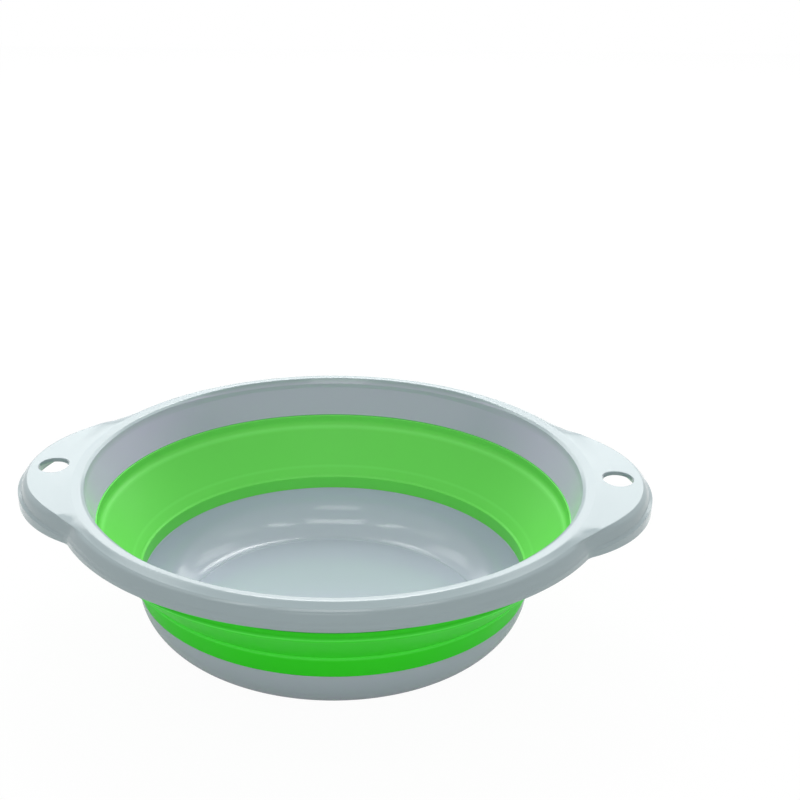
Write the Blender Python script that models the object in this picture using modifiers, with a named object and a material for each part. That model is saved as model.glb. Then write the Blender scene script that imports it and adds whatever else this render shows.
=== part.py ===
"""Collapsible wash basin, shown open.

A grey rim with two ears, a soft green band that folds, and a grey base bowl.
The bodies share one axis, Z. The basin stands on the ring under its base at
z = 0, and the ears point along X. Lengths are in metres.
"""
import math

import bmesh
import bpy
from mathutils import Matrix

# Heights of the five rings, from the table up to the top of the lip
BASE_HEIGHT = 0.0298
LOWER_COLLAR_HEIGHT = 0.0100
PANEL_HEIGHT = 0.0244
UPPER_COLLAR_HEIGHT = 0.0077
RIM_HEIGHT = 0.0224

# The basin's inner face: its radius at the base's edge, and how far each
# ring above leans out from there to the next one, and at last to the skirt
BASE_TOP_RADIUS = 0.1106
LOWER_COLLAR_FLARE = 0.0010
PANEL_FLARE = 0.0212
UPPER_COLLAR_FLARE = 0.0020
RIM_FLARE = 0.0053
LIP_WIDTH = 0.0149

# Wall thicknesses
BASE_WALL = 0.0024
BAND_WALL = 0.0024
PANEL_WALL = 0.0016
RIM_WALL = 0.0024
SKIRT_WALL = 0.0026

# The lip and the skirt that hangs from its outer edge
LIP_EDGE_RUN = 0.0090
LIP_EDGE_DROP = 0.0082
LIP_EDGE_FLATNESS = 1.3
LIP_INNER_RUN = 0.0042
LIP_INNER_DROP = 0.0050
SKIRT_DROP = 0.0118
EAR_SKIRT_DROP = 0.0147
BEAD_STEP = 0.0007
BEAD_EDGE = 0.0004

# The ears, measured from the skirt, and their holes, from the ears' tips
EAR_LENGTH = 0.0240
EAR_RADIUS = 0.0815
EAR_NECK_FILLET = 0.0015
EAR_EDGE_RUN = 0.0050
EAR_EDGE_FLATNESS = 1.6
EAR_EDGE_BLEND = 0.0080
EAR_HOLLOW_INSET = 0.0016
EAR_TOP_DROP = 0.0007
EAR_TOP_SLOPE = 0.0050
HOLE_MARGIN = 0.0190
HOLE_LENGTH = 0.0170
HOLE_WIDTH = 0.0190

# The base bowl's rounded edge, and the rings on its floor and under it,
# both measured from where the rounding starts
FLOOR_ROUND_RUN = 0.0310
FLOOR_RING_OFFSET = 0.0070
FLOOR_RING_SLOPE = 0.0008
FOOT_RING_OFFSET = 0.0041
FOOT_RING_HEIGHT = 0.0008
FOOT_RING_LAND = 0.0018
FOOT_RING_SLOPE = 0.0006

# Where the soft band is moulded over the edges of the hard shells
TONGUE_WALL = 0.0008
TONGUE_LENGTH = 0.0030

# Clearance between neighbours, and how far the panel laps both collars
GAP = 0.0003
LAP = 0.0015

# How finely the round shapes are divided
TURN_STEPS = 96
EAR_STEPS = 20
NECK_STEPS = 2
SIDE_STEPS = 26
ROUND_STEPS = 4
FLOOR_ROUND_STEPS = 6
HOLE_STEPS = 32
SMOOTH_ANGLE = math.radians(30)
MERGE_DISTANCE = 0.00001

# Cutters reach this far past what they cut
OVERRUN = 0.0010

# Heights and radii that follow from the rings
LOWER_CREASE_Z = BASE_HEIGHT + LOWER_COLLAR_HEIGHT
UPPER_CREASE_Z = LOWER_CREASE_Z + PANEL_HEIGHT
RIM_FOOT_Z = UPPER_CREASE_Z + UPPER_COLLAR_HEIGHT
TOP_Z = RIM_FOOT_Z + RIM_HEIGHT
LIP_EDGE_Z = TOP_Z - LIP_EDGE_DROP
LOWER_CREASE_RADIUS = BASE_TOP_RADIUS + LOWER_COLLAR_FLARE
UPPER_CREASE_RADIUS = LOWER_CREASE_RADIUS + PANEL_FLARE
RIM_FOOT_RADIUS = UPPER_CREASE_RADIUS + UPPER_COLLAR_FLARE
RIM_MOUTH_RADIUS = RIM_FOOT_RADIUS + RIM_FLARE
CREST_RADIUS = RIM_MOUTH_RADIUS + LIP_INNER_RUN
SKIRT_RADIUS = RIM_MOUTH_RADIUS + LIP_WIDTH
EAR_REACH = SKIRT_RADIUS + EAR_LENGTH
EAR_CENTRE = EAR_REACH - EAR_RADIUS
HOLE_CENTRE = EAR_REACH - HOLE_MARGIN
FLOOR_ROUND_START = BASE_TOP_RADIUS + BASE_WALL - FLOOR_ROUND_RUN
FLOOR_RING_RADIUS = FLOOR_ROUND_START + FLOOR_RING_OFFSET
FOOT_RING_RADIUS = FLOOR_ROUND_START + FOOT_RING_OFFSET

GREY = (0.46, 0.53, 0.55)
GREY_ROUGHNESS = 0.35
GREEN = (0.08, 0.55, 0.05)
GREEN_ROUGHNESS = 0.55


def clear_scene():
    for thing in list(bpy.data.objects):
        bpy.data.objects.remove(thing, do_unlink=True)


def new_collection(name):
    collection = bpy.data.collections.new(name)
    bpy.context.scene.collection.children.link(collection)
    return collection


def plastic(name, colour, roughness):
    material = bpy.data.materials.new(name)
    material.use_nodes = True
    shader = material.node_tree.nodes["Principled BSDF"]
    shader.inputs["Base Color"].default_value = (*colour, 1)
    shader.inputs["Roughness"].default_value = roughness
    shader.inputs["Metallic"].default_value = 0
    return material


def add_object(name, mesh, collection, material=None):
    thing = bpy.data.objects.new(name, mesh)
    collection.objects.link(thing)
    if material:
        mesh.materials.append(material)
    return thing


def smooth(mesh):
    mesh.shade_smooth()
    mesh.set_sharp_from_angle(angle=SMOOTH_ANGLE)


def mix(a, b, share):
    return a + (b - a) * share


def eased(share):
    """Share from 0 to 1 that starts and ends gently."""
    share = min(max(share, 0), 1)
    return share * share * (3 - 2 * share)


def ellipse(centre, run, drop, start, end, steps):
    """Points (radius, z) on an ellipse, its angles measured from outwards."""
    points = []
    for i in range(steps + 1):
        angle = math.radians(mix(start, end, i / steps))
        points.append((centre[0] + run * math.cos(angle), centre[1] + drop * math.sin(angle)))
    return points


def turned(name, profile, closed, collection, material):
    """Turn a profile of (radius, z) points, which runs down its outer side."""
    mesh = bpy.data.meshes.new(name)
    edges = [(i, i + 1) for i in range(len(profile) - 1)]
    if closed:
        edges.append((len(profile) - 1, 0))
    mesh.from_pydata([(r, 0, z) for r, z in profile], edges, [])
    thing = add_object(name, mesh, collection, material)
    screw = thing.modifiers.new("turn", "SCREW")
    screw.axis = "Z"
    screw.angle = 2 * math.pi
    screw.steps = TURN_STEPS
    screw.render_steps = TURN_STEPS
    screw.use_merge_vertices = True
    screw.merge_threshold = MERGE_DISTANCE
    screw.use_smooth_shade = True
    return thing


def wall_radius(z, low, high):
    """Radius at height z of a straight wall between two (radius, z) points."""
    return mix(low[0], high[0], (z - low[1]) / (high[1] - low[1]))


def lower_tongue(clearance):
    """Tongue on the base's edge, from its inner foot over its tip and down.

    With a clearance it is the groove of the collar that closes over it.
    """
    middle = BASE_TOP_RADIUS + BASE_WALL / 2
    lean = LOWER_COLLAR_FLARE / LOWER_COLLAR_HEIGHT
    half = TONGUE_WALL / 2 + clearance
    tip = TONGUE_LENGTH + clearance
    foot = clearance
    return [
        (middle + lean * foot - half, BASE_HEIGHT + foot),
        (middle + lean * tip - half, BASE_HEIGHT + tip),
        (middle + lean * tip + half, BASE_HEIGHT + tip),
        (middle + lean * foot + half, BASE_HEIGHT + foot),
    ]


def upper_tongue(clearance):
    """Tongue under the rim's wall, from its outer root under its tip and up."""
    middle = RIM_FOOT_RADIUS + RIM_WALL / 2
    lean = UPPER_COLLAR_FLARE / UPPER_COLLAR_HEIGHT
    half = TONGUE_WALL / 2 + clearance
    tip = TONGUE_LENGTH + clearance
    root = clearance
    return [
        (middle - lean * root + half, RIM_FOOT_Z - root),
        (middle - lean * tip + half, RIM_FOOT_Z - tip),
        (middle - lean * tip - half, RIM_FOOT_Z - tip),
        (middle - lean * root - half, RIM_FOOT_Z - root),
    ]


def floor_round(wall):
    """Rounded edge of the floor, from its foot up to the wall's top.

    A wall of zero gives the outer face, and the shell's wall the inner one.
    """
    centre = (FLOOR_ROUND_START, BASE_HEIGHT)
    run = FLOOR_ROUND_RUN - wall
    drop = BASE_HEIGHT - FOOT_RING_HEIGHT - wall
    return centre, run, drop


def round_from(radius, wall):
    """Points of the rounded edge from a radius on it up to the wall's top."""
    centre, run, drop = floor_round(wall)
    start = -math.degrees(math.acos((radius - centre[0]) / run))
    return ellipse(centre, run, drop, start, 0, FLOOR_ROUND_STEPS)


def make_base_bowl(collection, material):
    floor_z = FOOT_RING_HEIGHT + BASE_WALL
    ring_outer = FOOT_RING_RADIUS + FOOT_RING_LAND / 2
    ring_inner = FOOT_RING_RADIUS - FOOT_RING_LAND / 2
    profile = [(0, floor_z), (FLOOR_RING_RADIUS - FLOOR_RING_SLOPE, floor_z)]
    profile += round_from(FLOOR_RING_RADIUS, BASE_WALL)
    profile += lower_tongue(0)
    profile += reversed(round_from(ring_outer + FOOT_RING_SLOPE, 0))
    profile += [
        (ring_outer, 0),
        (ring_inner, 0),
        (ring_inner - FOOT_RING_SLOPE, FOOT_RING_HEIGHT),
        (0, FOOT_RING_HEIGHT),
    ]
    return turned("base_bowl", profile, False, collection, material)


def make_lower_collar(collection, material):
    """Foot of the soft band, moulded over the base's edge."""
    foot = (BASE_TOP_RADIUS, BASE_HEIGHT)
    crease = (LOWER_CREASE_RADIUS, LOWER_CREASE_Z)
    foot_z = BASE_HEIGHT + GAP
    foot_r = wall_radius(foot_z, foot, crease)
    profile = [
        (crease[0] + BAND_WALL, crease[1]),
        (foot_r + BAND_WALL, foot_z),
        *reversed(lower_tongue(GAP)),
        (foot_r, foot_z),
        crease,
    ]
    return turned("band_lower_collar", profile, True, collection, material)


def make_upper_collar(collection, material):
    """Head of the soft band, moulded over the foot of the rim's wall."""
    crease = (UPPER_CREASE_RADIUS, UPPER_CREASE_Z)
    head = (RIM_FOOT_RADIUS, RIM_FOOT_Z)
    head_z = RIM_FOOT_Z - GAP
    head_r = wall_radius(head_z, crease, head)
    profile = [
        (head_r + BAND_WALL, head_z),
        (crease[0] + BAND_WALL, crease[1]),
        crease,
        (head_r, head_z),
        *reversed(upper_tongue(GAP)),
    ]
    return turned("band_upper_collar", profile, True, collection, material)


def make_panel(collection, material):
    """Slanted middle of the band.

    Its head runs inside the upper collar and its foot outside the lower one,
    so that the three rings slide into each other as the basin folds.
    """
    head_outer = UPPER_CREASE_RADIUS - GAP
    head_inner = head_outer - PANEL_WALL
    foot_inner = LOWER_CREASE_RADIUS + BAND_WALL + GAP
    foot_outer = foot_inner + PANEL_WALL
    profile = [
        (head_outer, UPPER_CREASE_Z + LAP),
        (head_outer, UPPER_CREASE_Z),
        (foot_outer, LOWER_CREASE_Z),
        (foot_outer, LOWER_CREASE_Z - LAP),
        (foot_inner, LOWER_CREASE_Z - LAP),
        (foot_inner, LOWER_CREASE_Z),
        (head_inner, UPPER_CREASE_Z),
        (head_inner, UPPER_CREASE_Z + LAP),
    ]
    return turned("band_panel", profile, True, collection, material)


def neck_angle():
    """Angle from the ear's middle at which its arc meets the round skirt."""
    sides = SKIRT_RADIUS ** 2 + EAR_CENTRE ** 2 - EAR_RADIUS ** 2
    return math.acos(sides / (2 * SKIRT_RADIUS * EAR_CENTRE))


def section_angles():
    """Angles of the rim's sections, closer together round each ear."""
    neck = neck_angle()
    fillet = math.asin(2 * EAR_NECK_FILLET / SKIRT_RADIUS) * 2
    stops = [(neck, EAR_STEPS // 2), (neck + fillet, NECK_STEPS), (math.pi / 2, SIDE_STEPS // 2)]
    quarter = [0]
    for end, steps in stops:
        start = quarter[-1]
        quarter += [mix(start, end, (i + 1) / steps) for i in range(steps)]
    half = quarter + [math.pi - angle for angle in reversed(quarter[:-1])]
    return half[:-1] + [math.pi + angle for angle in half[:-1]]


def skirt_radius(angle):
    """Outline of the skirt's lower edge: the round rim and its two ears."""
    across = EAR_RADIUS ** 2 - (EAR_CENTRE * math.sin(angle)) ** 2
    ear = EAR_CENTRE * abs(math.cos(angle)) + math.sqrt(across) if across > 0 else 0
    higher = max(ear, SKIRT_RADIUS)
    lower = min(ear, SKIRT_RADIUS)
    blend = max(0, 1 - (higher - lower) / (2 * EAR_NECK_FILLET))
    return higher + blend * blend * EAR_NECK_FILLET / 2


def ear_top_z(radius):
    """Height of the ears' flat top, which lies a little below the lip's crest."""
    return TOP_Z - EAR_TOP_DROP * eased((radius - CREST_RADIUS) / EAR_TOP_SLOPE)


def lip_edge(centre, run, drop, flatness, steps):
    """Points of the lip's outer edge, from its top down to the bead.

    A flatness of 1 gives a quarter ellipse, and 2 gives a straight slope.
    """
    points = []
    for i in range(steps + 1):
        angle = math.pi / 2 * i / steps
        out = math.sin(angle) ** flatness
        up = math.cos(angle) ** flatness if i < steps else 0
        points.append((centre[0] + run * out, centre[1] + drop * up))
    return points


def rim_section(angle):
    """Closed outline (radius, z) of the rim at one angle around the basin."""
    outer = skirt_radius(angle)
    skirt_face = outer - BEAD_STEP
    skirt_z = TOP_Z - mix(SKIRT_DROP, EAR_SKIRT_DROP, math.cos(angle) ** 4)
    ear_share = eased((outer - SKIRT_RADIUS) / EAR_EDGE_BLEND)
    edge_run = mix(LIP_EDGE_RUN, EAR_EDGE_RUN, ear_share)
    flatness = mix(LIP_EDGE_FLATNESS, EAR_EDGE_FLATNESS, ear_share)
    edge_radius = skirt_face - edge_run
    edge_drop = ear_top_z(edge_radius) - LIP_EDGE_Z
    hollow_radius = edge_radius - EAR_HOLLOW_INSET * ear_share
    hollow_run = skirt_face - SKIRT_WALL - hollow_radius
    hollow_drop = edge_drop - SKIRT_WALL
    mouth_z = TOP_Z - LIP_INNER_DROP
    mouth_centre = (CREST_RADIUS, mouth_z)
    slope_radius = min(mix(CREST_RADIUS, edge_radius, 1 / 3), CREST_RADIUS + EAR_TOP_SLOPE / 2)
    flat_radius = min(mix(CREST_RADIUS, edge_radius, 2 / 3), CREST_RADIUS + EAR_TOP_SLOPE)
    section = [(RIM_FOOT_RADIUS, RIM_FOOT_Z)]
    section += ellipse(mouth_centre, LIP_INNER_RUN, LIP_INNER_DROP, 180, 90, ROUND_STEPS)
    section += [(slope_radius, ear_top_z(slope_radius)), (flat_radius, ear_top_z(flat_radius))]
    section += lip_edge((edge_radius, LIP_EDGE_Z), edge_run, edge_drop, flatness, ROUND_STEPS)
    section += [
        (skirt_face, LIP_EDGE_Z - BEAD_EDGE),
        (outer, LIP_EDGE_Z - 2 * BEAD_EDGE),
        (outer, skirt_z),
        (skirt_face - SKIRT_WALL, skirt_z),
    ]
    hollow = lip_edge((hollow_radius, LIP_EDGE_Z), hollow_run, hollow_drop, flatness, ROUND_STEPS - 1)
    section += reversed(hollow)
    section += [
        (CREST_RADIUS, LIP_EDGE_Z + hollow_drop),
        (RIM_MOUTH_RADIUS + RIM_WALL, mouth_z),
        (RIM_FOOT_RADIUS + RIM_WALL, RIM_FOOT_Z),
    ]
    section += upper_tongue(0)
    return section


def make_hole_cutter(name, side, collection):
    height = SKIRT_WALL + 2 * OVERRUN
    mesh = bpy.data.meshes.new(name)
    work = bmesh.new()
    turn = Matrix.Rotation(math.pi / HOLE_STEPS, 4, "Z")
    bmesh.ops.create_cone(
        work, cap_ends=True, segments=HOLE_STEPS, radius1=1, radius2=1, depth=1, matrix=turn
    )
    bmesh.ops.scale(work, vec=(HOLE_LENGTH / 2, HOLE_WIDTH / 2, height), verts=work.verts)
    work.to_mesh(mesh)
    work.free()
    cutter = add_object(name, mesh, collection)
    cutter.location = (side * HOLE_CENTRE, 0, TOP_Z - EAR_TOP_DROP - SKIRT_WALL / 2)
    cutter.hide_render = True
    cutter.display_type = "WIRE"
    return cutter


def make_rim(collection, cutters, material):
    """Loft the rim through its sections, then pierce both ears."""
    work = bmesh.new()
    rings = []
    for angle in section_angles():
        across, along = math.sin(angle), math.cos(angle)
        rings.append([work.verts.new((r * along, r * across, z)) for r, z in rim_section(angle)])
    count = len(rings[0])
    for i, ring in enumerate(rings):
        following = rings[(i + 1) % len(rings)]
        for j in range(count):
            k = (j + 1) % count
            work.faces.new((ring[j], following[j], following[k], ring[k]))
    bmesh.ops.recalc_face_normals(work, faces=work.faces)
    mesh = bpy.data.meshes.new("rim_frame")
    work.to_mesh(mesh)
    work.free()
    smooth(mesh)
    rim = add_object("rim_frame", mesh, collection, material)
    for name, side in (("right_ear_cutter", 1), ("left_ear_cutter", -1)):
        cut = rim.modifiers.new(name, "BOOLEAN")
        cut.operation = "DIFFERENCE"
        cut.solver = "EXACT"
        cut.object = make_hole_cutter(name, side, cutters)
    return rim


def main():
    clear_scene()
    parts = new_collection("collapsible_wash_basin")
    cutters = new_collection("cutters")
    make_base_bowl(parts, plastic("base_plastic", GREY, GREY_ROUGHNESS))
    make_lower_collar(parts, plastic("lower_collar_rubber", GREEN, GREEN_ROUGHNESS))
    make_panel(parts, plastic("panel_rubber", GREEN, GREEN_ROUGHNESS))
    make_upper_collar(parts, plastic("upper_collar_rubber", GREEN, GREEN_ROUGHNESS))
    make_rim(parts, cutters, plastic("rim_plastic", GREY, GREY_ROUGHNESS))


main()
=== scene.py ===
import math

import bmesh
import bpy
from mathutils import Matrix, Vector


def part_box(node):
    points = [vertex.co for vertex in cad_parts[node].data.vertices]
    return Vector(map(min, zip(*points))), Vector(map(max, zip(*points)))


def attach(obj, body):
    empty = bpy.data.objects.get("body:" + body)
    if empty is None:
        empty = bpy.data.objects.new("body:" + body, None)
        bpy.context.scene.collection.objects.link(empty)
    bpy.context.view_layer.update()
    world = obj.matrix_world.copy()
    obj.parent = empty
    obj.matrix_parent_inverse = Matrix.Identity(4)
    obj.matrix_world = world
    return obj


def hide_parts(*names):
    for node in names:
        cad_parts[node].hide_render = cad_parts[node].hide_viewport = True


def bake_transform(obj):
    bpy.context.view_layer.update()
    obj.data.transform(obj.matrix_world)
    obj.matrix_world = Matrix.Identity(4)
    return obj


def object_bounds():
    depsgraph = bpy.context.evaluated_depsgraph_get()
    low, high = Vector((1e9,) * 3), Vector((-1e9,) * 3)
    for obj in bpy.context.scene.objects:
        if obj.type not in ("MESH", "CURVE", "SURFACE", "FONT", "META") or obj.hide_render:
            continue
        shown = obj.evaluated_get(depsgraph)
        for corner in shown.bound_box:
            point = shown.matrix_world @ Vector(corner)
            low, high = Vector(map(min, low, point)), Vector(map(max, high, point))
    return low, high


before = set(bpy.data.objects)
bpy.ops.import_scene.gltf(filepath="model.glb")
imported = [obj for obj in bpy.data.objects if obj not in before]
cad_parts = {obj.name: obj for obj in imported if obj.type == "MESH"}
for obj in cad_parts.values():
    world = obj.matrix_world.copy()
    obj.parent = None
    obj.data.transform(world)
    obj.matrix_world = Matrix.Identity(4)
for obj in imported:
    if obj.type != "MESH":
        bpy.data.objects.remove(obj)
cad_low, cad_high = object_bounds()

# Looks of the collapsible wash basin: a grey rim with two ears, a green soft
# band and a grey base bowl. All lengths are in metres. Sizes that the packed
# model holds are read from its boxes, and the rest are named here.
MM = 0.001

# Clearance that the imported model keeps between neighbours, how far the rim's
# foot hangs below its place there, and half of the seam beside the band
GAP = 0.3 * MM
FOOT_OVERHANG = 0.7 * MM
HALF_SEAM = 0.05 * MM

lower_collar_low, lower_collar_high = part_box("band_lower_collar")
upper_collar_low, upper_collar_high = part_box("band_upper_collar")
BASE_TOP_Z = lower_collar_low.z - GAP
LOWER_CREASE_Z = lower_collar_high.z
UPPER_CREASE_Z = upper_collar_low.z
RIM_FOOT_Z = upper_collar_high.z + GAP - FOOT_OVERHANG
TOP_Z = cad_high.z
SKIRT_RADIUS = cad_high.y
EAR_REACH = cad_high.x

# Walls, and the inner face of the basin from the base's edge upwards
WALL = 2.4 * MM
BASE_TOP_RADIUS = 110.6 * MM
LOWER_CREASE_RADIUS = 111.6 * MM
UPPER_CREASE_RADIUS = 132.8 * MM
RIM_FOOT_RADIUS = 134.8 * MM
MOUTH_RADIUS = 140.1 * MM
MOUTH_DROP = 3.4 * MM
CREST_RADIUS = 145.4 * MM

# Corners (radius, z, rounding) of the mouth, from the wall up to the crest. It
# is firm up to the first share and soft from the second one, where a place's
# share is |x| / radius: 0 at the front and the back, and 1 at the ears.
FIRM_MOUTH = [
    (MOUTH_RADIUS - 0.2 * MM, TOP_Z - MOUTH_DROP - 2.5 * MM, 4.0 * MM),
    (MOUTH_RADIUS, TOP_Z - MOUTH_DROP, 0.6 * MM),
    (MOUTH_RADIUS + 1.6 * MM, TOP_Z, 1.1 * MM),
    (CREST_RADIUS, TOP_Z, 6.0 * MM),
]
SOFT_MOUTH = [
    (MOUTH_RADIUS - 1.2 * MM, TOP_Z - MOUTH_DROP - 2.5 * MM, 3.0 * MM),
    (MOUTH_RADIUS - 0.4 * MM, TOP_Z - 1.6 * MM, 0.7 * MM),
    (MOUTH_RADIUS + 1.4 * MM, TOP_Z - 0.5 * MM, 2.5 * MM),
    (CREST_RADIUS + 1.2 * MM, TOP_Z, 8.0 * MM),
]
FIRM_MOUTH_SHARE = 0.45
SOFT_MOUTH_SHARE = 0.80

# The lip falls from its crest to an edge, along which a faint line is raised.
# The ears' flat top runs out further. The shares say how far from the crest to
# the edge the top's points are, on the round rim and on the ears.
LIP_EDGE_INSET = 4.8 * MM
LIP_EDGE_DROP = 1.7 * MM
LIP_EDGE_ROUNDING = 1.5 * MM
EAR_EDGE_INSET = 5.7 * MM
EAR_EDGE_ROUNDING = 3.0 * MM
EDGE_LINE_WIDTH = 0.9 * MM
EDGE_LINE_HEIGHT = 0.04 * MM
LIP_TOP_SHARES = (0.38, 0.46, 0.54, 0.62, 0.70)
EAR_TOP_SHARES = (1 / 7, 2 / 7, 3 / 7, 4 / 7, 5 / 7)

# The skirt's outer face leans out from the lip's edge over a shoulder and a
# knee, and steps out to a bead, which has a ledge above it on the ears. Insets
# are measured from the face, drops from the top and heights from the bead.
SKIRT_WALL = 2.6 * MM
SHOULDER_INSET = 2.5 * MM
SHOULDER_DROP = 2.8 * MM
SHOULDER_ROUNDING = 5.0 * MM
EAR_SHOULDER_INSET = 2.7 * MM
EAR_SHOULDER_DROP = 2.9 * MM
KNEE_INSET = 0.4 * MM
KNEE_HEIGHT = 1.6 * MM
KNEE_ROUNDING = 3.0 * MM
EAR_KNEE_INSET = 1.6 * MM
EAR_LEDGE_WIDTH = 1.4 * MM
EAR_LEDGE_HEIGHT = 0.7 * MM
EAR_LEDGE_ROUNDING = 0.3 * MM
BEAD_DROP = 8.6 * MM
EAR_TIP_BEAD_DROP = 7.4 * MM
EAR_NECK_BEAD_DROP = 10.2 * MM
BEAD_STEP = 0.5 * MM
BEAD_LEAST_STEP = 0.2 * MM
BEAD_RUN = 1.3 * MM
EAR_BEAD_RUN = 0.3 * MM
BEAD_ROUNDING = 0.4 * MM
SKIRT_DROP = 11.8 * MM
EAR_SKIRT_DROP = 14.7 * MM
SKIRT_FOOT_ROUNDING = 0.5 * MM
RIM_FOOT_ROUNDING = 0.25 * MM

# The hollow under the lip: how far its corners lie inside the lip's edge,
# outside the crest and below the mouth's edge, and their roundings
HOLLOW_EDGE_INSET = 1.4 * MM
HOLLOW_CREST_STEP = 1.2 * MM
HOLLOW_MOUTH_DROP = 1.2 * MM
HOLLOW_EDGE_ROUNDING = 2.5 * MM
HOLLOW_CREST_ROUNDING = 1.5 * MM
HOLLOW_MOUTH_ROUNDING = 1.0 * MM

# Ears and their holes
EAR_RADIUS = 81.5 * MM
EAR_CENTRE = EAR_REACH - EAR_RADIUS
NECK_ANGLE = math.acos(
    (SKIRT_RADIUS ** 2 + EAR_CENTRE ** 2 - EAR_RADIUS ** 2) / (2 * SKIRT_RADIUS * EAR_CENTRE)
)
EAR_TOP_DROP = 0.7 * MM
EAR_TOP_SLOPE = 13.0 * MM
NECK_SPREAD = math.radians(5)
EAR_BLEND = 8.0 * MM
NECK_FILLET = 0.4 * MM
FACE_NECK_FILLET = 1.5 * MM
TOP_NECK_FILLET = 8.0 * MM
HOLE_INSET = 19.0 * MM
HOLE_CENTRE = EAR_REACH - HOLE_INSET
HOLE_LENGTH = 17.0 * MM
HOLE_WIDTH = 19.0 * MM
HOLE_EDGE = 0.5 * MM
CUTTER_OVERRUN = 1.0 * MM

# Base bowl: its rounded edge, the ring line in its floor, the foot ring
# beneath it, and the flat middle of its floor and bottom
FLOOR_ROUND_START = 82.0 * MM
FLOOR_RING_RADIUS = 89.0 * MM
FLOOR_RING_SLOPE = 0.8 * MM
FOOT_RING_RADIUS = 86.1 * MM
FOOT_RING_HEIGHT = 0.8 * MM
FOOT_RING_LAND = 1.8 * MM
FOOT_RING_SLOPE = 0.6 * MM
FLAT_RADIUS = 60.0 * MM
BASE_EDGE_ROUNDING = 0.3 * MM
RING_TOP_ROUNDING = 0.4 * MM
RING_FOOT_ROUNDING = 0.5 * MM

# Corners (radius, z, rounding) of the soft band: down its outer side, over a
# small ridge at each crease, and up its inner side
BAND_TOP_Z = RIM_FOOT_Z - HALF_SEAM
BAND_FOOT_Z = BASE_TOP_Z + HALF_SEAM
BAND_CORNERS = [
    (RIM_FOOT_RADIUS + WALL, BAND_TOP_Z, 0.3 * MM),
    (RIM_FOOT_RADIUS + WALL - 0.2 * MM, UPPER_CREASE_Z + 4.6 * MM, 2.0 * MM),
    (UPPER_CREASE_RADIUS + 4.8 * MM, UPPER_CREASE_Z + 2.9 * MM, 0.8 * MM),
    (UPPER_CREASE_RADIUS + 3.6 * MM, UPPER_CREASE_Z + 0.9 * MM, 1.8 * MM),
    (LOWER_CREASE_RADIUS + 4.4 * MM, LOWER_CREASE_Z + 3.7 * MM, 0.6 * MM),
    (LOWER_CREASE_RADIUS + 4.9 * MM, LOWER_CREASE_Z + 2.6 * MM, 0.5 * MM),
    (LOWER_CREASE_RADIUS + 4.6 * MM, LOWER_CREASE_Z + 1.2 * MM, 0.8 * MM),
    (BASE_TOP_RADIUS + WALL, BAND_FOOT_Z, 0.3 * MM),
    (BASE_TOP_RADIUS, BAND_FOOT_Z, 0.3 * MM),
    (LOWER_CREASE_RADIUS - 0.7 * MM, LOWER_CREASE_Z - 2.3 * MM, 0.7 * MM),
    (LOWER_CREASE_RADIUS + 0.5 * MM, LOWER_CREASE_Z - 1.3 * MM, 1.2 * MM),
    (UPPER_CREASE_RADIUS - 1.4 * MM, UPPER_CREASE_Z - 0.1 * MM, 1.0 * MM),
    (RIM_FOOT_RADIUS - 1.3 * MM, UPPER_CREASE_Z + 2.2 * MM, 6.0 * MM),
    (RIM_FOOT_RADIUS - 0.5 * MM, BAND_TOP_Z, 0.45 * MM),
]
BAND_STEP = 0.8 * MM

# Painted light. The rim's inner wall is painted paler and more lilac up to the
# mouth's edge, most of all next to the ears, between the same kind of shares as
# at the mouth: painted light that also hides the green light thrown by the band.
# The band is painted paler along lines (radius, z, reach): painted highlights.
PAINTED_LIGHT_ATTRIBUTE = "painted_light_share"
INSIDE_DEPTH = 1.0 * MM
INSIDE_TOP_Z = TOP_Z - 1.5 * MM
INSIDE_FADE = 0.7 * MM
PAINTED_LIGHT_MIDDLE_SHARE = 0.45
PAINTED_LIGHT_SIDE_SHARES = (0.60, 0.95)
# painted highlights along the band's creases and its top inner edge
PAINTED_HIGHLIGHT_LINES = [
    (UPPER_CREASE_RADIUS + 4.7 * MM, UPPER_CREASE_Z + 2.6 * MM, 1.7 * MM),
    (LOWER_CREASE_RADIUS + 4.8 * MM, LOWER_CREASE_Z + 2.9 * MM, 1.7 * MM),
    (UPPER_CREASE_RADIUS - 1.0 * MM, UPPER_CREASE_Z - 0.3 * MM, 2.3 * MM),
    (RIM_FOOT_RADIUS - 0.3 * MM, RIM_FOOT_Z, 1.0 * MM),
]

# How finely the visible shapes are divided. A quarter of the rim has steps up
# to the ear's neck, across it and on to the front or back.
TURN_STEPS = 256
ARC_STEPS = 4
BAND_ARC_STEPS = 6
BOWL_STEPS = 28
HOLE_STEPS = 96
HOLE_EDGE_STEPS = 5
EAR_STEPS, NECK_STEPS, PLAIN_STEPS = 28, 44, 40
MERGE_DISTANCE = 0.01 * MM
SHARP_ANGLE = math.radians(50)
NORMAL_WEIGHT = 50

# Most of a side that the rounding of one corner may take
ROUNDED_SIDE_SHARE = 0.49


def mix(a, b, share):
    return a + (b - a) * share


def corner_arc(before, corner, after, radius, steps):
    """Points of the arc that rounds one corner of an outline."""
    here, last, following = (Vector(p[:2]) for p in (corner, before, after))
    back, ahead = last - here, following - here
    half = back.angle(ahead) / 2
    longest = ROUNDED_SIDE_SHARE * min(back.length, ahead.length)
    reach = min(radius / math.tan(half), longest)
    radius = reach * math.tan(half)
    start = here + back.normalized() * reach
    end = here + ahead.normalized() * reach
    centre = here + (back.normalized() + ahead.normalized()).normalized() * (radius / math.sin(half))
    turn = (start - centre).angle_signed(end - centre)
    points = []
    for i in range(steps + 1):
        angle = turn * i / steps
        arm = start - centre
        points.append((
            centre.x + arm.x * math.cos(angle) + arm.y * math.sin(angle),
            centre.y - arm.x * math.sin(angle) + arm.y * math.cos(angle),
        ))
    return points


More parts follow.
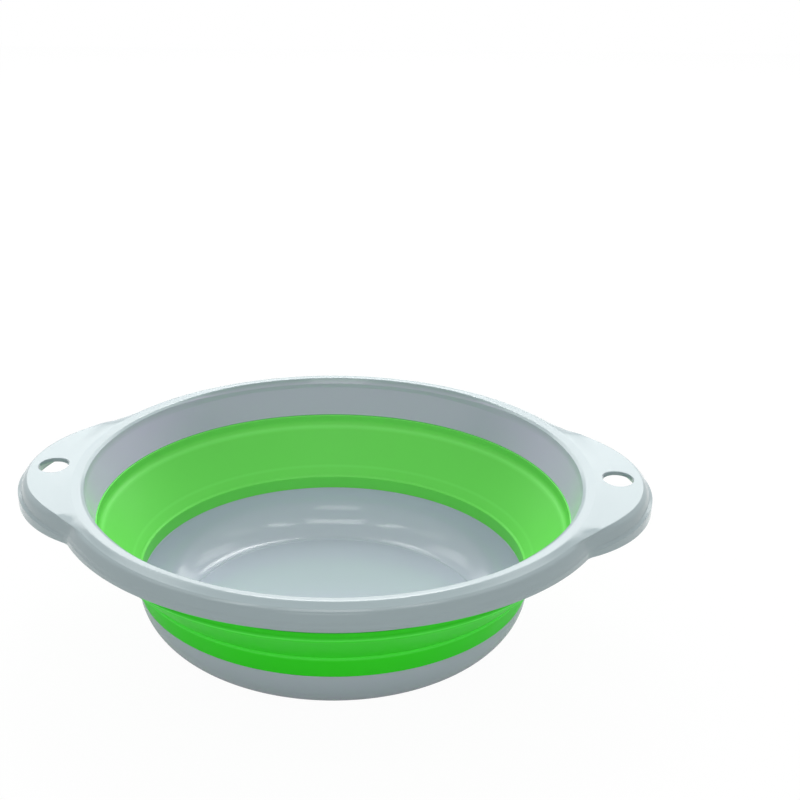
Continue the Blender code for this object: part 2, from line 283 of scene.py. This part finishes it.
def rounded(corners, closed=True, steps=ARC_STEPS):
    """Outline through corners (radius, z, rounding), each made an arc.

    A corner without rounding and the ends of an open outline stay points.
    """
    outline = []
    for i, corner in enumerate(corners):
        at_end = not closed and i in (0, len(corners) - 1)
        if at_end or corner[2] == 0:
            outline.append(corner[:2])
        else:
            following = corners[(i + 1) % len(corners)]
            outline += corner_arc(corners[i - 1], corner, following, corner[2], steps)
    return outline


def new_object(name, mesh):
    thing = bpy.data.objects.new(name, mesh)
    bpy.context.scene.collection.objects.link(thing)
    return thing


def skin(name, rings, closed):
    """Mesh through rings of points that go round the basin's axis.

    An open section starts and ends on the axis, where its points are merged.
    """
    mesh = bpy.data.meshes.new(name)
    work = bmesh.new()
    rows = [[work.verts.new(point) for point in ring] for ring in rings]
    count = len(rows[0])
    for i, row in enumerate(rows):
        following = rows[(i + 1) % len(rows)]
        for j in range(count if closed else count - 1):
            k = (j + 1) % count
            work.faces.new((row[j], following[j], following[k], row[k]))
    if not closed:
        bmesh.ops.remove_doubles(work, verts=work.verts, dist=MERGE_DISTANCE)
    bmesh.ops.recalc_face_normals(work, faces=work.faces)
    work.to_mesh(mesh)
    work.free()
    mesh.shade_smooth()
    return new_object(name, mesh)


def turned(name, outline, closed):
    """Mesh of one outline turned round the basin's axis."""
    rings = []
    for i in range(TURN_STEPS):
        angle = 2 * math.pi * i / TURN_STEPS
        across, along = math.sin(angle), math.cos(angle)
        rings.append([(r * along, r * across, z) for r, z in outline])
    return skin(name, rings, closed)


def apply_modifiers(thing):
    graph = bpy.context.evaluated_depsgraph_get()
    mesh = bpy.data.meshes.new_from_object(thing.evaluated_get(graph))
    thing.modifiers.clear()
    thing.data = mesh


def even_normals(thing):
    """Keeps broad faces flat where small roundings meet them."""
    weighted = thing.modifiers.new("even_normals", "WEIGHTED_NORMAL")
    weighted.mode = "FACE_AREA"
    weighted.weight = NORMAL_WEIGHT
    weighted.keep_sharp = True


def outline_radius(angle, fillet, round_inset=0, ear_inset=0):
    """Radius at an angle of the round rim and its two ears, blended at the necks."""
    ear_radius = EAR_RADIUS - ear_inset
    across = ear_radius ** 2 - (EAR_CENTRE * math.sin(angle)) ** 2
    ear = EAR_CENTRE * abs(math.cos(angle)) + math.sqrt(across) if across > 0 else 0
    plain = SKIRT_RADIUS - round_inset
    higher, lower = max(ear, plain), min(ear, plain)
    blend = max(0, 1 - (higher - lower) / (2 * fillet))
    return higher + blend * blend * fillet / 2


def eased(share):
    share = min(max(share, 0), 1)
    return share * share * (3 - 2 * share)


def eased_between(value, start, end):
    return eased((value - start) / (end - start))


def mouth(angle):
    """Corners (radius, z, rounding) of the mouth at an angle."""
    share = eased_between(abs(math.cos(angle)), FIRM_MOUTH_SHARE, SOFT_MOUTH_SHARE)
    pairs = zip(FIRM_MOUTH, SOFT_MOUTH)
    return [tuple(mix(a, b, share) for a, b in zip(*pair)) for pair in pairs]


def lip_top(angle, ear_share, crest_radius):
    """Points (radius, z, rounding) from the lip's crest to its edge, and the edge."""
    edge_radius = outline_radius(angle, TOP_NECK_FILLET, LIP_EDGE_INSET, EAR_EDGE_INSET)
    points = []
    for i, (lip_share, flat_share) in enumerate(zip(LIP_TOP_SHARES, EAR_TOP_SHARES), 1):
        radius = mix(crest_radius, edge_radius, mix(lip_share, flat_share, ear_share))
        radius = min(radius, crest_radius + EAR_TOP_SLOPE * i / len(LIP_TOP_SHARES))
        slope_share = (radius - crest_radius) / (edge_radius - crest_radius)
        ear_drop = EAR_TOP_DROP * eased((radius - crest_radius) / EAR_TOP_SLOPE)
        points.append((radius, TOP_Z - mix(LIP_EDGE_DROP * slope_share, ear_drop, ear_share), 0))
    line_radius = edge_radius - EDGE_LINE_WIDTH
    line_drop = LIP_EDGE_DROP * (line_radius - crest_radius) / (edge_radius - crest_radius)
    points.append((line_radius, TOP_Z - mix(line_drop, EAR_TOP_DROP, ear_share), 0))
    edge_z = TOP_Z - mix(LIP_EDGE_DROP - EDGE_LINE_HEIGHT, EAR_TOP_DROP, ear_share)
    return points, (edge_radius, edge_z, mix(LIP_EDGE_ROUNDING, EAR_EDGE_ROUNDING, ear_share))


def bead_height(angle, ear_share):
    """Top of the bead: highest at the ears' tips and lowest at their necks."""
    neck_share = min(abs(math.sin(angle)) / math.sin(NECK_ANGLE), 1)
    ear_drop = mix(EAR_TIP_BEAD_DROP, EAR_NECK_BEAD_DROP, neck_share ** 2)
    return TOP_Z - mix(BEAD_DROP, ear_drop, ear_share)


def skirt_corners(angle, outer, ear_share):
    """Corners (radius, z, rounding) down the skirt's outer face and under its foot."""
    face = outline_radius(angle, FACE_NECK_FILLET) - BEAD_STEP
    bead = max(outer, face + BEAD_LEAST_STEP)
    bead_z = bead_height(angle, ear_share)
    foot_z = TOP_Z - mix(SKIRT_DROP, EAR_SKIRT_DROP, math.cos(angle) ** 4)
    shoulder = face - mix(SHOULDER_INSET, EAR_SHOULDER_INSET, ear_share)
    shoulder_z = TOP_Z - mix(SHOULDER_DROP, EAR_SHOULDER_DROP, ear_share)
    knee = face - mix(KNEE_INSET, EAR_KNEE_INSET, ear_share)
    ledge = face - EAR_LEDGE_WIDTH * ear_share
    return [
        (shoulder, shoulder_z, SHOULDER_ROUNDING),
        (knee, bead_z + KNEE_HEIGHT, KNEE_ROUNDING),
        (ledge, bead_z + EAR_LEDGE_HEIGHT * ear_share, EAR_LEDGE_ROUNDING),
        (bead, bead_z - mix(BEAD_RUN, EAR_BEAD_RUN, ear_share), BEAD_ROUNDING),
        (bead, foot_z, SKIRT_FOOT_ROUNDING),
        (outer - BEAD_STEP - SKIRT_WALL, foot_z, SKIRT_FOOT_ROUNDING),
    ]


def rim_section(angle):
    """Closed outline (radius, z) of the rim at one angle round the basin."""
    outer = outline_radius(angle, NECK_FILLET)
    ear_share = eased((outer - SKIRT_RADIUS) / EAR_BLEND)
    inside = mouth(angle)
    top, edge = lip_top(angle, ear_share, inside[-1][0])
    foot_z = RIM_FOOT_Z + HALF_SEAM
    section = [(RIM_FOOT_RADIUS, foot_z, RIM_FOOT_ROUNDING)]
    section += inside + top + [edge] + skirt_corners(angle, outer, ear_share)
    section += [
        (edge[0] - HOLLOW_EDGE_INSET, edge[1] - SKIRT_WALL, HOLLOW_EDGE_ROUNDING),
        (CREST_RADIUS + HOLLOW_CREST_STEP, TOP_Z - SKIRT_WALL, HOLLOW_CREST_ROUNDING),
        (MOUTH_RADIUS + WALL, TOP_Z - MOUTH_DROP - HOLLOW_MOUTH_DROP, HOLLOW_MOUTH_ROUNDING),
        (RIM_FOOT_RADIUS + WALL, foot_z, RIM_FOOT_ROUNDING),
    ]
    return rounded(section)


def hole_levels():
    """Levels (growth, z) of a hole's cutter, flared at both faces of the ear."""
    top = TOP_Z - EAR_TOP_DROP
    bottom = top - SKIRT_WALL
    flare = [(HOLE_EDGE, top + CUTTER_OVERRUN)]
    for i in range(HOLE_EDGE_STEPS + 1):
        turn = math.pi / 2 * (1 - i / HOLE_EDGE_STEPS)
        flare.append((HOLE_EDGE * (1 - math.cos(turn)), top - HOLE_EDGE * (1 - math.sin(turn))))
    return flare + [(grow, top + bottom - z) for grow, z in reversed(flare)]


def make_hole_cutter(name, side):
    """Cutter for one ear hole, flared so that the hole's edges are round."""
    mesh = bpy.data.meshes.new(name)
    work = bmesh.new()
    rows = []
    for grow, z in hole_levels():
        row = []
        for i in range(HOLE_STEPS):
            angle = 2 * math.pi * (i + 0.5) / HOLE_STEPS
            x = side * HOLE_CENTRE + (HOLE_LENGTH / 2 + grow) * math.cos(angle)
            y = (HOLE_WIDTH / 2 + grow) * math.sin(angle)
            row.append(work.verts.new((x, y, z)))
        rows.append(row)
    for above, below in zip(rows, rows[1:]):
        for i in range(HOLE_STEPS):
            j = (i + 1) % HOLE_STEPS
            work.faces.new((above[i], above[j], below[j], below[i]))
    work.faces.new(rows[0])
    work.faces.new(rows[-1])
    bmesh.ops.recalc_face_normals(work, faces=work.faces)
    work.to_mesh(mesh)
    work.free()
    return new_object(name, mesh)


def rim_angles():
    """Angles of the rim's sections, closer together round the ears' necks."""
    stops = [
        (NECK_ANGLE - NECK_SPREAD, EAR_STEPS),
        (NECK_ANGLE + NECK_SPREAD, NECK_STEPS),
        (math.pi / 2, PLAIN_STEPS),
    ]
    quarter = [0]
    for end, steps in stops:
        start = quarter[-1]
        quarter += [mix(start, end, (i + 1) / steps) for i in range(steps)]
    half = quarter + [math.pi - angle for angle in reversed(quarter[:-1])]
    return half[:-1] + [math.pi + angle for angle in half[:-1]]


def mark_painted_light(thing, share_at):
    """Writes the share of the painted light colour at each vertex."""
    marks = thing.data.attributes.new(PAINTED_LIGHT_ATTRIBUTE, "FLOAT", "POINT")
    for vertex, entry in zip(thing.data.vertices, marks.data):
        entry.value = share_at(vertex.co)


def inner_wall_painted_light_share(place):
    """Share of the painted light colour at a place on the rim: none except on its inner wall."""
    radius = math.hypot(place.x, place.y)
    height_share = (place.z - RIM_FOOT_Z) / (TOP_Z - MOUTH_DROP - RIM_FOOT_Z)
    if radius > mix(RIM_FOOT_RADIUS, MOUTH_RADIUS, height_share) + INSIDE_DEPTH:
        return 0
    side = eased_between(abs(place.x) / radius, *PAINTED_LIGHT_SIDE_SHARES)
    return mix(PAINTED_LIGHT_MIDDLE_SHARE, 1, side) * eased((INSIDE_TOP_Z - place.z) / INSIDE_FADE)


def make_rim():
    """The rim with its lip, skirt and ears, lofted round the axis and pierced."""
    rings = []
    for angle in rim_angles():
        across, along = math.sin(angle), math.cos(angle)
        rings.append([(r * along, r * across, z) for r, z in rim_section(angle)])
    rim = skin("rim", rings, closed=True)
    cutters = [make_hole_cutter("right_hole_cutter", 1), make_hole_cutter("left_hole_cutter", -1)]
    for cutter in cutters:
        cut = rim.modifiers.new(cutter.name, "BOOLEAN")
        cut.operation = "DIFFERENCE"
        cut.solver = "EXACT"
        cut.object = cutter
    apply_modifiers(rim)
    for cutter in cutters:
        bpy.data.objects.remove(cutter, do_unlink=True)
    rim.data.set_sharp_from_angle(angle=SHARP_ANGLE)
    even_normals(rim)
    mark_painted_light(rim, inner_wall_painted_light_share)
    return rim


def divide(outline, longest):
    """Adds points to a closed outline's straight stretches."""
    points = []
    for i, start in enumerate(outline):
        end = outline[(i + 1) % len(outline)]
        parts = max(1, math.ceil(math.dist(start, end) / longest))
        for k in range(parts):
            points.append((mix(start[0], end[0], k / parts), mix(start[1], end[1], k / parts)))
    return points


def crease_highlight_share(place):
    """Share of the painted highlight colour at a place on the band."""
    point = (math.hypot(place.x, place.y), place.z)
    return max(eased(1 - math.dist(point, line[:2]) / line[2]) for line in PAINTED_HIGHLIGHT_LINES)


def make_band():
    """The soft band: two collars and a thinner slanted panel, in one ring."""
    outline = rounded(BAND_CORNERS, steps=BAND_ARC_STEPS)
    band = turned("band", divide(outline, BAND_STEP), closed=True)
    even_normals(band)
    mark_painted_light(band, crease_highlight_share)
    return band


def bowl_edge(start_radius, start_rounding, wall):
    """Corners (radius, z, rounding) up the bowl's rounded edge, on an ellipse.

    The wall is 0 for the outer face, and the bowl's wall for the inner one.
    """
    run = BASE_TOP_RADIUS + WALL - FLOOR_ROUND_START - wall
    drop = BASE_TOP_Z - FOOT_RING_HEIGHT - wall
    start = -math.acos((start_radius - FLOOR_ROUND_START) / run)
    roundings = [start_rounding] + [0] * (BOWL_STEPS - 1) + [BASE_EDGE_ROUNDING]
    corners = []
    for i, rounding in enumerate(roundings):
        angle = mix(start, 0, i / BOWL_STEPS)
        radius = FLOOR_ROUND_START + run * math.cos(angle)
        z = BASE_TOP_Z + drop * math.sin(angle)
        corners.append((radius, z, rounding))
    return corners


def make_base():
    """The base bowl: its floor and ring line inside, and its foot ring beneath."""
    floor_z = FOOT_RING_HEIGHT + WALL
    ring_outer = FOOT_RING_RADIUS + FOOT_RING_LAND / 2
    ring_inner = FOOT_RING_RADIUS - FOOT_RING_LAND / 2
    inside = bowl_edge(FLOOR_RING_RADIUS, RING_TOP_ROUNDING, WALL)
    outside = bowl_edge(ring_outer + FOOT_RING_SLOPE, BASE_EDGE_ROUNDING, 0)
    corners = [
        (0, floor_z, 0),
        (FLAT_RADIUS, floor_z, 0),
        (FLOOR_RING_RADIUS - FLOOR_RING_SLOPE, floor_z, RING_FOOT_ROUNDING),
        *inside,
        *reversed(outside),
        (ring_outer, 0, BASE_EDGE_ROUNDING),
        (ring_inner, 0, BASE_EDGE_ROUNDING),
        (ring_inner - FOOT_RING_SLOPE, FOOT_RING_HEIGHT, RING_TOP_ROUNDING),
        (FLAT_RADIUS, FOOT_RING_HEIGHT, 0),
        (0, FOOT_RING_HEIGHT, 0),
    ]
    base = turned("base", rounded(corners, closed=False), closed=False)
    even_normals(base)
    return base


def new_material(name):
    material = bpy.data.materials.new(name)
    material.use_nodes = True
    tree = material.node_tree
    return material, tree, tree.nodes["Principled BSDF"]


# Noise scale and detail of the mottled colour, of the worn roughness and of
# the grain, the grain's strength, and the part of a noise's range that is used
MOTTLE = (9, 1)
WEAR = (40, 2)
GRAIN = (2500, 2)
GRAIN_STRENGTH = 0.5
NOISE_RANGE = (0.3, 0.7)


def noise(tree, scale_and_detail, place):
    node = tree.nodes.new("ShaderNodeTexNoise")
    node.inputs["Scale"].default_value, node.inputs["Detail"].default_value = scale_and_detail
    tree.links.new(place, node.inputs["Vector"])
    return node.outputs["Fac"]


def ranged(tree, value, low, high):
    """Maps the middle part of a noise to the range from low to high."""
    node = tree.nodes.new("ShaderNodeMapRange")
    node.inputs["From Min"].default_value, node.inputs["From Max"].default_value = NOISE_RANGE
    node.inputs["To Min"].default_value, node.inputs["To Max"].default_value = low, high
    tree.links.new(value, node.inputs["Value"])
    return node.outputs["Result"]


def colour_mix(tree, factor, second):
    """Node that turns a first colour, still to be given, into a second one."""
    node = tree.nodes.new("ShaderNodeMix")
    node.data_type = "RGBA"
    node.inputs["B"].default_value = (*second, 1)
    tree.links.new(factor, node.inputs["Factor"])
    return node


def moulded(name, dark, light, roughness, specular, grain_height, painted_light_colour=None):
    """Moulded plastic or rubber: a little mottled, with a fine grain.

    A colour of painted light, where one is given, shows by the share that the mesh holds.
    """
    material, tree, shader = new_material(name)
    place = tree.nodes.new("ShaderNodeTexCoord").outputs["Object"]
    mottled = colour_mix(tree, ranged(tree, noise(tree, MOTTLE, place), 0, 1), light)
    mottled.inputs["A"].default_value = (*dark, 1)
    colour = mottled.outputs["Result"]
    if painted_light_colour:
        # painted light: the mesh's share of the painted light colour
        share = tree.nodes.new("ShaderNodeAttribute")
        share.attribute_name = PAINTED_LIGHT_ATTRIBUTE
        with_painted_light = colour_mix(tree, share.outputs["Fac"], painted_light_colour)
        tree.links.new(colour, with_painted_light.inputs["A"])
        colour = with_painted_light.outputs["Result"]
    tree.links.new(colour, shader.inputs["Base Color"])
    worn = ranged(tree, noise(tree, WEAR, place), *roughness)
    tree.links.new(worn, shader.inputs["Roughness"])
    bump = tree.nodes.new("ShaderNodeBump")
    bump.inputs["Distance"].default_value = grain_height
    bump.inputs["Strength"].default_value = GRAIN_STRENGTH
    tree.links.new(noise(tree, GRAIN, place), bump.inputs["Height"])
    tree.links.new(bump.outputs["Normal"], shader.inputs["Normal"])
    shader.inputs["Specular IOR Level"].default_value = specular
    return material


WHITE = (1, 1, 1, 1)


def show_white(tree, plain, white_kind, camera_share, mirrored_share):
    """Shader that turns white by a share where the camera or a reflection sees it."""
    path = tree.nodes.new("ShaderNodeLightPath")
    shares = {
        "Is Camera Ray": camera_share,
        "Is Glossy Ray": mirrored_share,
        "Is Transmission Ray": camera_share,
    }
    seen = None
    for ray, share in shares.items():
        weight = tree.nodes.new("ShaderNodeMath")
        weight.operation = "MULTIPLY_ADD"
        weight.inputs[1].default_value = share
        weight.inputs[2].default_value = 0
        tree.links.new(path.outputs[ray], weight.inputs[0])
        if seen:
            tree.links.new(seen, weight.inputs[2])
        seen = weight.outputs[0]
    white = tree.nodes.new(white_kind)
    white.inputs["Strength"].default_value = 1
    white.inputs["Color"].default_value = WHITE
    both = tree.nodes.new("ShaderNodeMixShader")
    tree.links.new(seen, both.inputs["Fac"])
    tree.links.new(plain, both.inputs[1])
    tree.links.new(white.outputs[0], both.inputs[2])
    return both.outputs[0]


# The white surroundings: a world, and a floor that keeps a faint shadow
WORLD_STRENGTH = 0.38
FLOOR_SIZE = 4
FLOOR_COLOUR = (0.92, 0.92, 0.92, 1)
FLOOR_WHITE_SHARE = 0.97
FLOOR_MIRRORED_SHARE = 0.15


def make_world():
    world = bpy.data.worlds.new("studio")
    bpy.context.scene.world = world
    world.use_nodes = True
    tree = world.node_tree
    plain = tree.nodes["Background"]
    plain.inputs["Color"].default_value = WHITE
    plain.inputs["Strength"].default_value = WORLD_STRENGTH
    shown = show_white(tree, plain.outputs[0], "ShaderNodeBackground", 1, 1)
    tree.links.new(shown, tree.nodes["World Output"].inputs["Surface"])


def make_floor():
    mesh = bpy.data.meshes.new("floor")
    half = FLOOR_SIZE / 2
    corners = [(-half, -half, 0), (half, -half, 0), (half, half, 0), (-half, half, 0)]
    mesh.from_pydata(corners, [], [(0, 1, 2, 3)])
    floor = new_object("floor", mesh)
    material, tree, shader = new_material("floor_white")
    tree.nodes.remove(shader)
    plain = tree.nodes.new("ShaderNodeBsdfDiffuse")
    plain.inputs["Color"].default_value = FLOOR_COLOUR
    shown = show_white(
        tree, plain.outputs[0], "ShaderNodeEmission", FLOOR_WHITE_SHARE, FLOOR_MIRRORED_SHARE
    )
    tree.links.new(shown, tree.nodes["Material Output"].inputs["Surface"])
    mesh.materials.append(material)


LAMP_DISTANCE = 2.0
LAMP_TARGET = Vector((0, 0, 0.06))

# Softboxes: azimuth from straight behind the basin, elevation, width, height
# and watts. One that stands to the side has a twin on the other side.
SOFTBOXES = {
    "back_low": (0, 24.5, 3.71, 0.33, 11.0),
    "back_middle": (0, 36, 3.24, 0.42, 15.3),
    "back_high": (0, 50, 0.84, 0.49, 14.4),
    "back_corner": (44, 50, 0.69, 0.49, 2.1),
    "side": (90, 50, 0.45, 0.70, 0.9),
    "side_high": (113, 66, 0.21, 0.50, 1.8),
    "front": (180, 35, 0.90, 0.42, 3.2),
    "front_high": (150, 67, 0.16, 0.28, 0.35),
    "overhead": (180, 76, 0.70, 0.42, 4.0),
}


def add_softbox(name, azimuth, elevation, width, height, watts):
    """A softbox that faces the basin and doesn't show in the picture."""
    lamp = bpy.data.lights.new(name, "AREA")
    lamp.shape = "RECTANGLE"
    lamp.size, lamp.size_y = width, height
    lamp.energy = watts
    thing = bpy.data.objects.new(name, lamp)
    bpy.context.scene.collection.objects.link(thing)
    flat = math.cos(math.radians(elevation))
    direction = Vector((
        math.sin(math.radians(azimuth)) * flat,
        math.cos(math.radians(azimuth)) * flat,
        math.sin(math.radians(elevation)),
    ))
    thing.location = LAMP_TARGET + direction * LAMP_DISTANCE
    thing.rotation_euler = (-direction).to_track_quat("-Z", "Y").to_euler()
    thing.visible_camera = False


def make_lights():
    for name, (azimuth, *values) in SOFTBOXES.items():
        if azimuth in (0, 180):
            add_softbox(name, azimuth, *values)
        else:
            add_softbox("right_" + name, azimuth, *values)
            add_softbox("left_" + name, -azimuth, *values)


# The photograph's view of the basin
CAMERA_DISTANCE = 0.8317
CAMERA_ELEVATION = math.radians(27.65)
CAMERA_AZIMUTH = math.radians(3.27)
CAMERA_TARGET = Vector((0, 0, 0.0564))
CAMERA_LENS = 64.755
CAMERA_SENSOR = 36
CAMERA_SHIFT = (0.0835, 0.1625)
CAMERA_CLIP = (0.01, 100)


def make_camera():
    data = bpy.data.cameras.new("camera")
    data.lens = CAMERA_LENS
    data.sensor_width = CAMERA_SENSOR
    data.shift_x, data.shift_y = CAMERA_SHIFT
    data.clip_start, data.clip_end = CAMERA_CLIP
    camera = bpy.data.objects.new("camera", data)
    bpy.context.scene.collection.objects.link(camera)
    flat = math.cos(CAMERA_ELEVATION)
    back = Vector((
        math.sin(CAMERA_AZIMUTH) * flat,
        -math.cos(CAMERA_AZIMUTH) * flat,
        math.sin(CAMERA_ELEVATION),
    ))
    camera.location = CAMERA_TARGET + back * CAMERA_DISTANCE
    camera.rotation_euler = (-back).to_track_quat("-Z", "Y").to_euler()
    bpy.context.scene.camera = camera


# Materials: linear colours, least and most roughness, and height of the grain
rim_plastic = moulded(
    "rim_plastic",
    dark=(0.346, 0.425, 0.445),
    light=(0.354, 0.435, 0.453),
    # painted light: the inner wall's paler, lilac colour
    painted_light_colour=(0.672, 0.590, 0.800),
    roughness=(0.15, 0.19),
    specular=0.4,
    grain_height=0.02 * MM,
)
base_plastic = moulded(
    "base_plastic",
    dark=(0.497, 0.536, 0.630),
    light=(0.505, 0.544, 0.640),
    roughness=(0.10, 0.14),
    specular=0.4,
    grain_height=0.02 * MM,
)
# One green rubber in two copies with painted light: the inside one paler and whiter as a painted
# sheen, the outside one greener and more saturated as painted light in its shade
green_inside_painted_sheen = moulded(
    "green_rubber_inside_painted_sheen",
    dark=(0.142, 0.703, 0.091),
    light=(0.148, 0.721, 0.095),
    # painted highlight colour at the inner crease and the top inner edge
    painted_light_colour=(0.190, 0.800, 0.135),
    roughness=(0.38, 0.46),
    specular=0.3,
    grain_height=0.03 * MM,
)
green_outside_painted_light = moulded(
    "green_rubber_outside_painted_light",
    dark=(0.030, 0.792, 0.011),
    light=(0.034, 0.808, 0.013),
    # painted highlight colour along the outer creases
    painted_light_colour=(0.095, 0.950, 0.075),
    roughness=(0.38, 0.46),
    specular=0.2,
    grain_height=0.03 * MM,
)

# Rim
rim = make_rim()
rim.data.materials.append(rim_plastic)
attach(rim, "rim")
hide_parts("rim_frame")

# Base bowl
base = make_base()
base.data.materials.append(base_plastic)
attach(base, "base")
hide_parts("base_bowl")

# Soft band, with one copy of the green painted lighter outside, where it lies in shade, and the
# other, with a painted sheen, inside
band = make_band()
band.data.materials.append(green_outside_painted_light)
band.data.materials.append(green_inside_painted_sheen)
for face in band.data.polygons:
    outwards = Vector((face.center.x, face.center.y, 0)).normalized()
    face.material_index = 1 if face.normal.dot(outwards) < 0 else 0
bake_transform(band)
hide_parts("band_upper_collar", "band_panel", "band_lower_collar")

# Surroundings, lamps and camera
make_world()
make_floor()
make_lights()
make_camera()
bpy.context.scene.view_settings.view_transform = "Standard"
